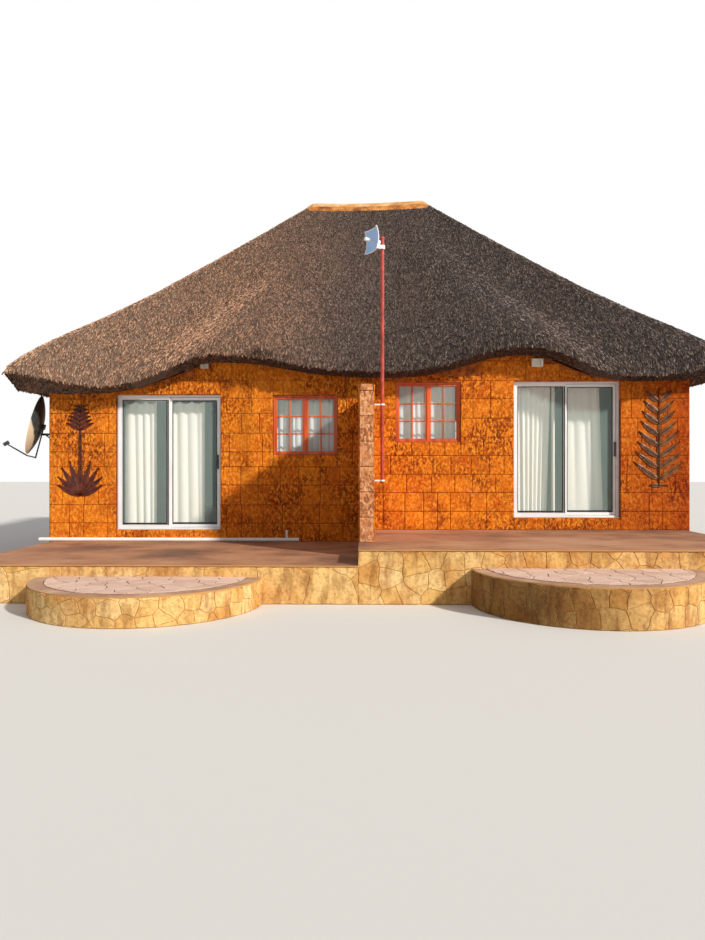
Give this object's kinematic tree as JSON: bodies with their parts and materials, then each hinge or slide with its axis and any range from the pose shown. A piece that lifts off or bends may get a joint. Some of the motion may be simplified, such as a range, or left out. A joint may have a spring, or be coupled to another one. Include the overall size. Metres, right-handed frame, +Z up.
{
  "type": "thatched rondavel hut",
  "caption": "Semi-detached thatched guest hut with hipped roof, eyebrow eaves, sliding patio doors, timber windows, stone-faced stoeps and half-round steps.",
  "frame": {"origin": "on the lawn plane under the middle of the roof ridge, in the flat underside", "axes": "+X to the right seen from the front, +Y to the back, +Z up"},
  "size_m": [11.7777, 12.56, 7.3851],
  "materials": {
    "stoep_stone": "rough coursed stone and render",
    "step_screed": "floated screed with a stone inlay",
    "floor_screed": "smooth screed",
    "wall_cladding": "rock-faced block cladding",
    "roof_pole": "peeled pole, oiled",
    "thatch": "weathered reed thatch",
    "ridge_cement": "trowelled tinted cement",
    "door_aluminium": "satin",
    "clear_glass": "clear float",
    "handle_plastic": "black, satin",
    "window_timber": "stained and varnished",
    "curtain_cloth": "woven drape",
    "net_cloth": "light net",
    "rail_metal": "gloss",
    "mast_paint": "red oxide primer",
    "bracket_paint": "gloss",
    "antenna_plastic": "satin",
    "radio_plastic": "satin",
    "dish_paint": "powder coat, faded",
    "dish_arm_paint": "powder coat",
    "lamp_plastic": "satin",
    "relief_left_clay": "fired clay, matt",
    "relief_right_clay": "fired clay, matt",
    "pipe_plastic": "white, extruded"
  },
  "bodies": {
    "root": {"left_stoep": "stoep_stone", "right_stoep": "stoep_stone", "left_step": "step_screed", "right_step": "step_screed", "left_floor": "floor_screed", "right_floor": "floor_screed", "front_wall_left_end": "wall_cladding", "front_wall_left_door_head": "wall_cladding", "front_wall_left_middle": "wall_cladding", "front_wall_right_middle": "wall_cladding", "front_wall_right_door_head": "wall_cladding", "front_wall_right_end": "wall_cladding", "door_sills": "floor_screed", "left_side_wall": "wall_cladding", "right_side_wall": "wall_cladding", "back_wall": "wall_cladding", "divider_wall": "wall_cladding", "rafters": "roof_pole", "ridge_pole": "roof_pole", "front_thatch": "thatch", "right_thatch": "thatch", "back_thatch": "thatch", "left_thatch": "thatch", "ridge_cap": "ridge_cement", "left_door_frame": "door_aluminium", "right_door_frame": "door_aluminium", "door_fixed_panels": "door_aluminium", "door_fixed_glass": "clear_glass", "window_frames": "window_timber", "window_sashes": "window_timber", "window_glass": "clear_glass", "door_curtains": "curtain_cloth", "window_curtains": "net_cloth", "curtain_rails": "rail_metal", "antenna_mast": "mast_paint", "mast_brackets": "bracket_paint", "antenna_panel": "antenna_plastic", "antenna_radio": "radio_plastic", "antenna_feed": "antenna_plastic", "satellite_dish": "dish_paint", "dish_bracket": "dish_arm_paint", "dish_receiver": "dish_arm_paint", "door_lamps": "lamp_plastic", "left_relief": "relief_left_clay", "right_relief": "relief_right_clay", "drain_pipe": "pipe_plastic"},
    "left_door": {"left_door_leaf": "door_aluminium", "left_door_leaf_glass": "clear_glass", "left_door_handle": "handle_plastic"},
    "right_door": {"right_door_leaf": "door_aluminium", "right_door_leaf_glass": "clear_glass", "right_door_handle": "handle_plastic"}
  },
  "joints": [
    {"name": "left_door_slide", "type": "slide", "parent": "root", "child": "left_door", "axis": [-1, 0, 0], "range_m": [0, 0.74]},
    {"name": "right_door_slide", "type": "slide", "parent": "root", "child": "right_door", "axis": [-1, 0, 0], "range_m": [0, 0.74]}
  ]
}
